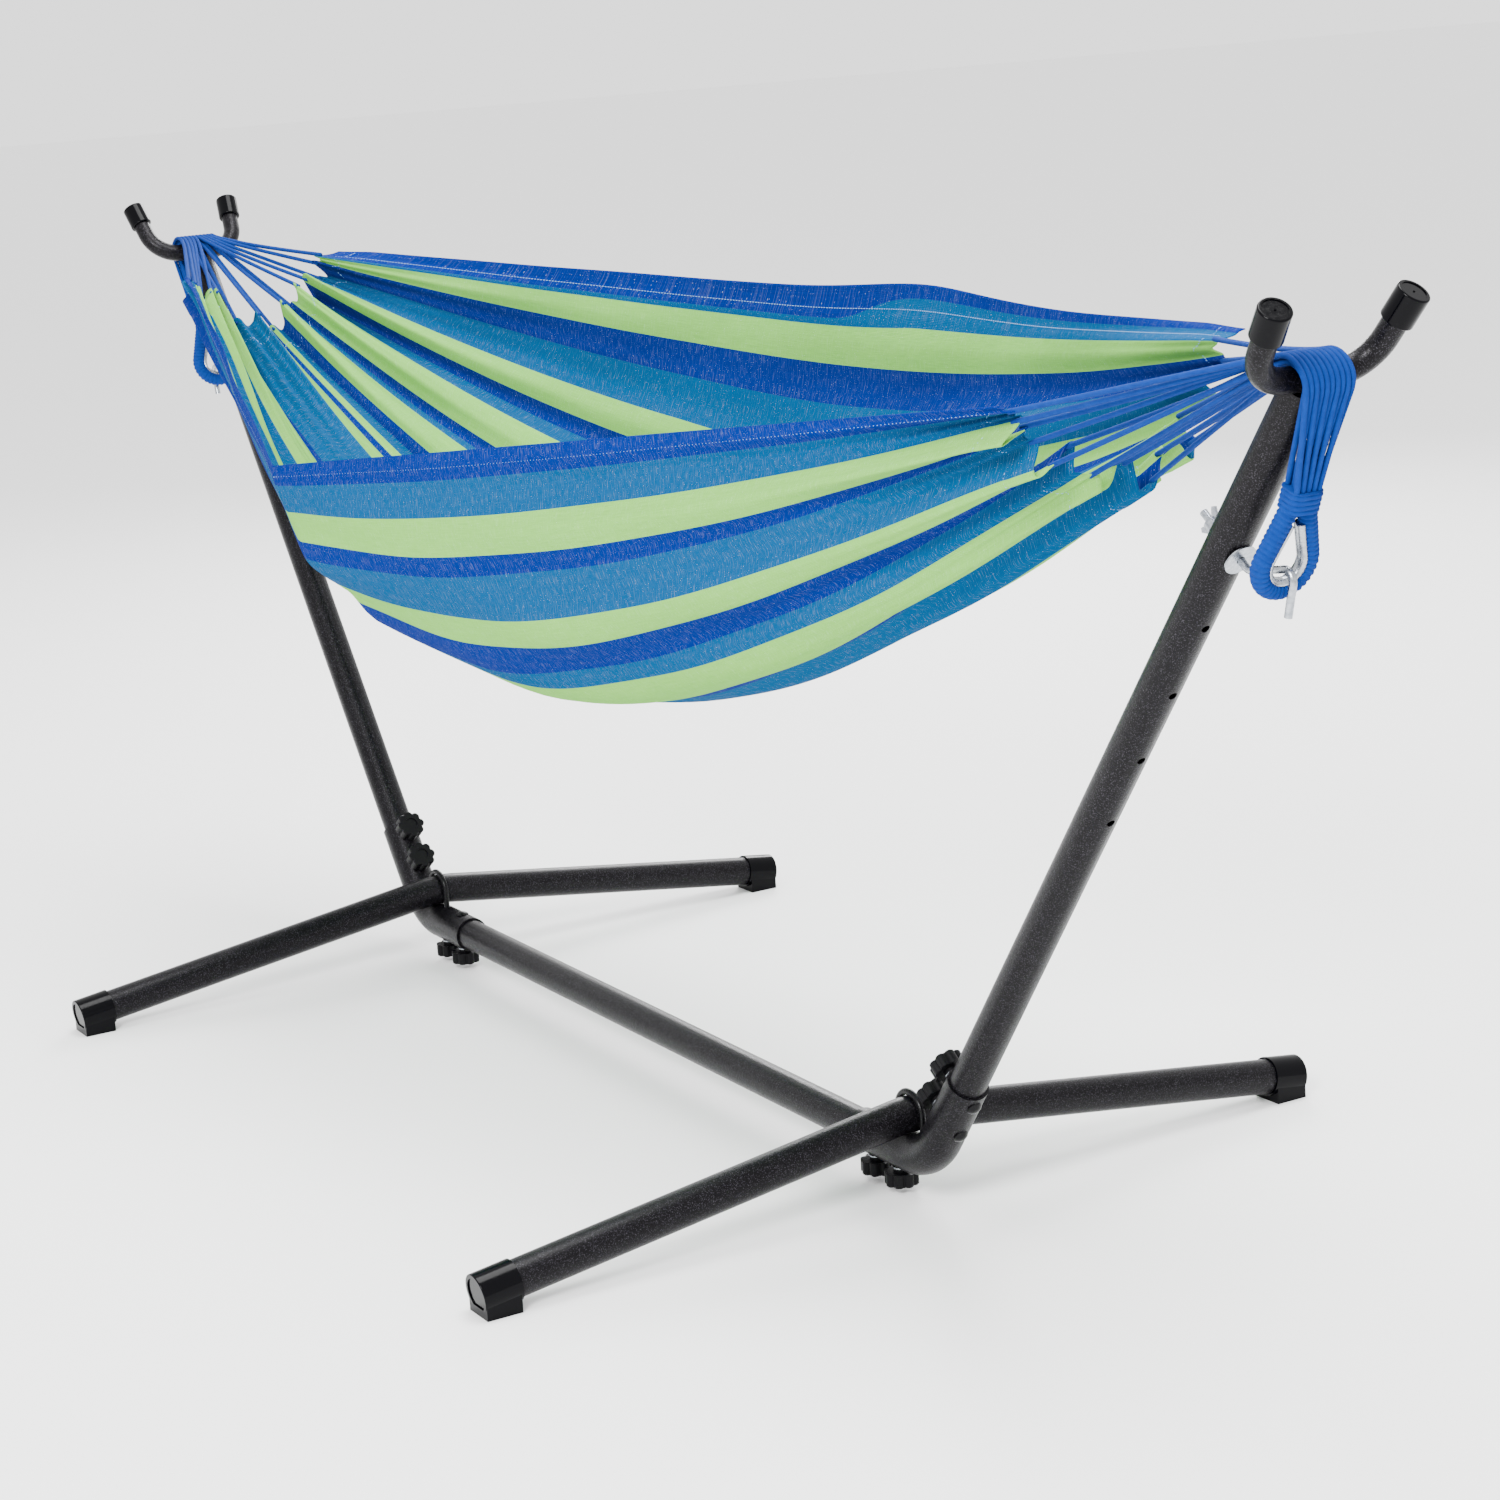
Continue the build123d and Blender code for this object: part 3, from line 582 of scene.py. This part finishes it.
def saddle_corners(layer):
    """The two corners of a cord's route over the fork."""
    half = acos(along.dot(leave)) / 4
    reach = layer_r[layer] / cos(half)
    first = atan2(across.z, across.x) + half
    turns = (first, first + 2 * half)
    corners = [saddle + Vector((reach * cos(a), 0, reach * sin(a))) for a in turns]
    return [corners[0] + across * rim_gap, corners[1]]


def cord_place(index):
    """Layer of one cord and its place from the middle; cords are counted from the near hem."""
    top_half = layer_cords[1] // 2
    if index < top_half:
        return (1, index + 0.5 - top_half)
    if index >= top_half + layer_cords[0]:
        return (1, index + 0.5 - top_half - layer_cords[0])
    return (0, index + 0.5 - top_half - layer_cords[0] / 2)


def cord_route(index, tip, side):
    """One cord from the whipping, over the fork's saddle, to its tip of the cloth."""
    layer, place = cord_place(index)
    stagger = 0.5 if floor(place) % 2 else -0.5
    shift = whip_layer * (layer - 0.5) + whip_stagger * stagger
    start = hang + along * (whip_high + whip_gap) + across * shift + Vector((0, place * whip_pitch, 0))
    first, second = [c + Vector((0, place * saddle_pitch, 0)) for c in saddle_corners(layer)]
    step = (second - first).length
    before = first + (start - first).normalized() * step
    after = second + leave * step
    tip = Vector((side * tip.x, tip.y, tip.z))
    gather = after.lerp(tip, 0.5) + Vector((0, 0, -cord_sag_step * (index % 3)))
    route = [start, start.lerp(before, 0.5), before, first, second, after, gather, tip]
    return [Vector((side * p.x, p.y, p.z)) for p in route]


def braid(place, angles):
    """Radius of a braided cord: yarns slanting both ways."""
    turn = 2 * pi * place / braid_pitch
    yarns = np.cos(4 * angles + turn) * np.cos(4 * angles - turn)
    return cord_r * (0.95 + 0.05 * yarns)


# ==================================================================================================
# Pieces
# ==================================================================================================
def make_cords(material):
    """Every clew cord, whole from the whipping to the cloth, bending between stand and hammock."""
    shares = (np.arange(cord_count) + 0.5) / cord_count
    grid = cloth_grid(shares_between(41, 1.0), shares)[0]
    cords = []
    for side, word in ((1, "a"), (-1, "b")):
        tips = grid[-1 if side > 0 else 0]
        inner = grid[-2 if side > 0 else 1]
        for index in range(cord_count):
            way = Vector(inner[index]) - Vector(tips[index])
            tip = Vector(tips[index]) + way.normalized() * cord_in_cloth
            points, places = even_points(smooth_line(cord_route(index, tip, side)), cord_step)
            mesh, faces, uv = tube_mesh(points, places, braid, cord_sides)
            cord = mesh_piece(f"clew_cord_{word}_{index + 1:02d}", mesh, faces, uv, material)
            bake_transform(cord)
            if index == 0:
                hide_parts(f"clew_cords_{word}", f"tail_cords_{word}")
            cords.append(cord)
    return cords


def make_cloth(material):
    """The striped cloth, one pleated sheet with its hems and end casings."""
    rows, columns = 221, 433
    v = np.linspace(0, 1, columns)
    shares = shares_between(rows, 0.75)
    hem = np.minimum(v, 1 - v)[None, :] * cloth_width
    casing = np.minimum(shares, 1 - shares)[:, None] * cloth_length
    double = hem_step * (1 - smooth(np.minimum(hem / hem_w, casing / casing_w), 0.94, 1.0))
    shape = cloth_grid(shares, v, double)[0]
    # towards end b the far hem takes up most of the azure stripe beside it
    taken = 0.016 * smooth(v, 0.966, 0.971)[None, :] * (1 - smooth(v, 0.971, 1.0))[None, :]
    flat_v = v[None, :] + taken * (1 - smooth(shape[:, :, 0], 0.0, 0.2))
    along_cloth = np.broadcast_to(shares[:, None], flat_v.shape)
    uv = np.stack((flat_v * cloth_width, along_cloth * cloth_length), 2).reshape(-1, 2)
    cloth = mesh_piece("hammock_cloth", shape.reshape(-1, 3), grid_faces(rows, columns), uv, material)
    thick = cloth.modifiers.new("thick", "SOLIDIFY")
    thick.thickness = cloth_t
    thick.offset = 0
    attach(cloth, "hammock")
    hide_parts("hammock_bed")


def make_stitches(material):
    """Rows of stitches that close the hems and the end casings, as short threads on both faces."""
    lines = []
    for share_v in (hem_w / cloth_width * 0.9, 1 - hem_w / cloth_width * 0.9):
        shape, normal = cloth_grid(np.linspace(0.012, 0.988, 700), np.array((share_v, share_v + 0.001)))
        lines.append((shape[:, 0], normal[:, 0]))
    for share in (casing_w / cloth_length, 1 - casing_w / cloth_length):
        shape, normal = cloth_grid((share - 0.001, share, share + 0.001), np.linspace(0.004, 0.996, 360))
        lines.append((shape[1], normal[1]))
    points, faces = [], []
    for line, normal in lines:
        for index in range(0, len(line) - 1, 2):
            a, b, n = line[index], line[index + 1], normal[index]
            run = b - a
            b = a + run * stitch_run
            side = np.cross(run / np.linalg.norm(run), n) * stitch_r
            for face in (-1, 1):
                low, high = n * face * stitch_foot, n * face * stitch_height
                first = len(points)
                for end, rise in ((a, low), ((a + b) / 2, high), (b, low)):
                    points += [end + rise - side, end + rise + n * face * stitch_crown, end + rise + side]
                faces += [(first + k, first + k + 1, first + k + 4, first + k + 3) for k in (0, 1, 3, 4)]
    threads = mesh_piece("hem_stitches", points, faces, None, material)
    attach(threads, "hammock")


def teardrop(radius, tip, height):
    """The line round an eye of that radius, from its top at the near side to its top at the far side."""
    centre = hang + along * eye_centre
    top = Vector((tip, height))
    reach = top.length
    touch = atan2(top.y, top.x) - acos(radius / reach)
    turns = np.linspace(pi - touch, 2 * pi + touch, 60)
    local = [(-top.x, top.y)] + [(radius * cos(a), radius * sin(a)) for a in turns] + [(top.x, top.y)]
    return [centre + Vector((0, 1, 0)) * y + along * z for y, z in local]


def channel_mesh(line, section, width_way):
    """A channel swept along a line, open towards the outside of its bend."""
    ways = np.gradient(line, axis=0)
    ways /= np.linalg.norm(ways, axis=1)[:, None]
    outward = np.cross(ways, width_way)
    wide = width_way[None, :] * section[:, 1:]
    rings = [p + o[None, :] * section[:, :1] + wide for p, o in zip(line, outward)]
    return np.concatenate(rings), tube_faces(len(line), len(section))


def wrapped(place, angles):
    """Radius of the eye's rope, ribbed by the cord that is wound round it."""
    phase = place / wrap_pitch + angles / (2 * pi)
    return eye_rope_r * (0.80 + 0.22 * np.sqrt(np.abs(np.sin(pi * phase))))


def mirrored(points, side):
    """Points of end a, or their mirror image at end b."""
    return np.array([(side * p[0], p[1], p[2]) for p in points])


def whipping_mesh(width_way):
    """The turns of cord that bind the bundle, as rings of a rounded rectangle with ribs."""
    heights = np.arange(0, whip_high - whip_low + whip_extra, wrap_pitch / 8)
    angles = np.linspace(0, 2 * pi, 72, endpoint=False)
    rings = []
    for h in heights:
        rib = whip_rib * np.sqrt(np.abs(np.sin(pi * (h / wrap_pitch + angles / (2 * pi))))) - whip_rib_foot
        half_w, half_d = whip_w / 2 + rib, whip_t / 2 + rib
        y = np.sign(np.cos(angles)) * np.abs(np.cos(angles)) ** whip_squareness * half_w
        n = np.sign(np.sin(angles)) * np.abs(np.sin(angles)) ** whip_squareness * half_d
        centre = np.array(hang + along * (whip_low - whip_over + h))
        rings.append(centre + y[:, None] * np.array((0, 1, 0)) + n[:, None] * width_way)
    return np.concatenate(rings), tube_faces(len(heights), len(angles))


def make_eyes(cotton, steel):
    """The wrapped eye, its steel thimble and the whipping at each end."""
    loop_r = thimble_r + thimble_t + eye_rope_gap + eye_rope_r
    rope_top = whip_low + eye_in_whipping - eye_centre
    line, places = even_points(teardrop(loop_r, eye_rope_r * 0.92, rope_top), wrap_pitch / 6)
    thimble_line = even_points(teardrop(thimble_r, thimble_tip_gap, thimble_tip), thimble_step)[0]
    across_np = np.array(across)
    eye_points, eye_faces, eye_uv = tube_mesh(line, places, wrapped, eye_sides, across_np)
    channel_points, channel_faces = channel_mesh(thimble_line, np.array(thimble_section), across_np)
    whip_points, whip_faces = whipping_mesh(across_np)
    for side, word in ((1, "a"), (-1, "b")):
        eye = mesh_piece(f"wrapped_eye_rope_{word}", mirrored(eye_points, side), eye_faces, eye_uv, cotton)
        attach(eye, "stand")
        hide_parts(f"wrapped_eye_{word}")

        name = f"thimble_channel_{word}"
        channel = mesh_piece(name, mirrored(channel_points, side), channel_faces, None, steel)
        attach(channel, "stand")
        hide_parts(f"thimble_{word}")

        name = f"whipping_turns_{word}"
        whip = mesh_piece(name, mirrored(whip_points, side), whip_faces, None, cotton)
        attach(whip, "stand")
        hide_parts(f"whipping_{word}")


def finish_nodes(materials):
    """Give every CAD node that stays in view the material of its slot."""
    slots = {s["node"]: s["material_slot"] for s in frame["record"]["subparts"]}
    for node, piece in frame["nodes"].items():
        piece.data.materials.clear()
        piece.data.materials.append(materials[slots[node]])


# ==================================================================================================
# Stage
# ==================================================================================================
def make_camera():
    """The camera, by its place, the way it looks, its roll and its lens."""
    azimuth, elevation, roll = radians(60.867), radians(11.403), radians(-3.635)
    look = Vector((-sin(azimuth) * cos(elevation), cos(azimuth) * cos(elevation), -sin(elevation)))
    right = look.cross(Vector((0, 0, 1))).normalized()
    top = right.cross(look)
    right, top = right * cos(roll) + top * sin(roll), top * cos(roll) - right * sin(roll)
    data = bpy.data.cameras.new("camera")
    data.lens = 80.99
    data.sensor_width = 36.0
    data.shift_x = 0.0268
    data.shift_y = -0.0700
    data.clip_start = 0.1
    data.clip_end = 100.0
    camera = bpy.data.objects.new("camera", data)
    place = Matrix((right, top, -look)).transposed().to_4x4()
    place.translation = Vector((3.6952, -1.93284, 1.38292))
    camera.matrix_world = place
    bpy.context.scene.collection.objects.link(camera)
    bpy.context.scene.camera = camera


def area_light(name, place, target, size, power):
    """A square soft light that faces its target."""
    data = bpy.data.lights.new(name, "AREA")
    data.shape = "SQUARE"
    data.size = size
    data.energy = power
    light = bpy.data.objects.new(name, data)
    light.location = place
    light.rotation_euler = (Vector(target) - Vector(place)).to_track_quat("-Z", "Y").to_euler()
    bpy.context.scene.collection.objects.link(light)


def make_stage():
    """A pale floor, a white surround and soft studio lights."""
    m = Nodes("floor_paint")
    m.set(Base_Color=(0.93, 0.93, 0.93, 1.0), Roughness=0.7)
    size = 30.0
    corners = [(-size, -size, 0), (size, -size, 0), (size, size, 0), (-size, size, 0)]
    floor_piece = mesh_piece("floor", corners, [(0, 1, 2, 3)], None, m.material)
    floor_piece.location.z = -0.0002
    world = bpy.data.worlds.new("surround")
    world.use_nodes = True
    world.node_tree.nodes["Background"].inputs[0].default_value = (1.0, 1.0, 1.0, 1.0)
    world.node_tree.nodes["Background"].inputs[1].default_value = 1.9
    bpy.context.scene.world = world
    area_light("key", (3.2, -3.4, 3.4), (0, 0, 0.5), 1.6, 420)
    area_light("top", (0.3, 0.5, 4.2), (0, 0, 0.4), 2.2, 260)
    area_light("rear", (-3.4, 2.6, 2.4), (0, 0, 0.6), 1.6, 160)


materials = {
    "frame_paint": hammertone(),
    "cap_plastic": moulded("cap_plastic", (2, 2, 4), rough=0.1, grain=0.1, shine=0.08),
    "knob_plastic": moulded("knob_plastic", (4, 4, 6), rough=0.4, grain=0.5, shine=0.12),
    "black_steel": black_steel(),
    "zinc_steel": zinc(),
    "cord_cotton": cord_cotton(),
    "cloth": woven("cloth", striped),
    "thread": thread(),
}
make_camera()
make_stage()
finish_nodes(materials)
cords = make_cords(materials["cord_cotton"])
make_cloth(materials["cloth"])
make_stitches(materials["thread"])
make_eyes(materials["cord_cotton"], materials["zinc_steel"])
